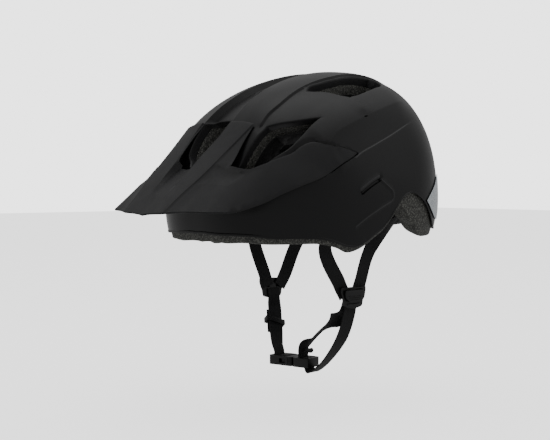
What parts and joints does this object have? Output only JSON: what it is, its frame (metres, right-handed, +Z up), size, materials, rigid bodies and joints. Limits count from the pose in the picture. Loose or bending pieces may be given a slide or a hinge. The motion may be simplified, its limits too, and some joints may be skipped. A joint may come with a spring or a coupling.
{
  "type": "cycling helmet",
  "caption": "Trail cycling helmet: ribbed vented shell over a foam liner, tilting peaked visor, head ring with dial, and strap harness with a side release buckle.",
  "frame": {"origin": "where the crown pad's flat underside rests on the wearer's head", "axes": "+Z up, the wearer faces -Y, the wearer's left is +X"},
  "size_m": [0.215, 0.3321, 0.2905],
  "materials": {
    "shell_black": "satin moulded shell",
    "visor_black": "fine matte grain",
    "liner_foam": "speckled expanded foam",
    "pad_cloth": "brushed knit over foam",
    "moulded_plastic": "satin",
    "pivot_plastic": "smooth",
    "dial_rubber": "soft touch",
    "screw_steel": "plain",
    "strap_webbing": "woven webbing",
    "reflector_silver": "light reflective film"
  },
  "bodies": {
    "helmet": {"brow_pad": "pad_cloth", "buckle_female": "moulded_plastic", "chin_strap_left": "strap_webbing", "chin_strap_left_return": "strap_webbing", "chin_strap_right": "strap_webbing", "cradle_hanger": "moulded_plastic", "crown_pad": "pad_cloth", "divider_left": "moulded_plastic", "divider_right": "moulded_plastic", "eps_liner": "liner_foam", "front_strap_left": "strap_webbing", "front_strap_right": "strap_webbing", "headband_left": "moulded_plastic", "headband_right": "moulded_plastic", "outer_shell": "shell_black", "pivot_socket_left": "pivot_plastic", "pivot_socket_right": "pivot_plastic", "rear_strap_left": "strap_webbing", "rear_strap_right": "strap_webbing", "reflector_left": "reflector_silver", "reflector_right": "reflector_silver", "side_pad_left": "pad_cloth", "side_pad_right": "pad_cloth", "strap_anchor_front_left": "moulded_plastic", "strap_anchor_front_right": "moulded_plastic", "strap_anchor_rear_left": "moulded_plastic", "strap_anchor_rear_right": "moulded_plastic", "strap_tail_right": "strap_webbing", "temple_anchor_left": "moulded_plastic", "temple_anchor_right": "moulded_plastic"},
    "visor": {"visor": "visor_black", "visor_pivot_left": "pivot_plastic", "visor_pivot_right": "pivot_plastic"},
    "cradle": {"cradle": "moulded_plastic", "cradle_pad": "pad_cloth", "reel_cover": "moulded_plastic", "reel_housing": "moulded_plastic"},
    "dial": {"adjuster_dial": "dial_rubber", "dial_screw": "screw_steel", "reel_spool": "pivot_plastic"},
    "lever_left": {"divider_lever_left": "moulded_plastic"},
    "lever_right": {"divider_lever_right": "moulded_plastic"},
    "keeper": {"strap_keeper": "moulded_plastic"},
    "buckle_male": {"buckle_male": "moulded_plastic"}
  },
  "joints": [
    {"name": "visor_tilt", "type": "hinge", "parent": "helmet", "child": "visor", "pos_m": [0, -0.06658, -0.04967], "axis": [-1, 0, 0], "range_deg": [0, 6]},
    {"name": "cradle_fit", "type": "slide", "parent": "helmet", "child": "cradle", "axis": [0, -1, 0], "range_m": [0, 0.012], "deforming": ["headband_left", "headband_right", "cradle_hanger"]},
    {"name": "dial_turn", "type": "hinge", "parent": "cradle", "child": "dial", "pos_m": [0, 0.08692, -0.10082], "axis": [0, 1, 0], "range_deg": [0, 270]},
    {"name": "lever_left", "type": "hinge", "parent": "helmet", "child": "lever_left", "pos_m": [0.06581, -0.0166, -0.1715], "axis": [0, -1, 0], "range_deg": [0, 100]},
    {"name": "lever_right", "type": "hinge", "parent": "helmet", "child": "lever_right", "pos_m": [-0.06581, -0.0106, -0.1715], "axis": [0, 1, 0], "range_deg": [0, 100]},
    {"name": "keeper_slide", "type": "slide", "parent": "helmet", "child": "keeper", "axis": [0.5941, -0.4327, -0.6781], "range_m": [-0.012, 0.012]},
    {"name": "buckle_release", "type": "slide", "parent": "helmet", "child": "buckle_male", "axis": [0.9781, 0.2079, 0], "range_m": [0, 0.024], "deforming": ["chin_strap_left", "chin_strap_left_return"]}
  ],
  "couplings": [
    {"joint": "dial_turn", "follows": "cradle_fit", "rad_per_m": 392.69}
  ]
}
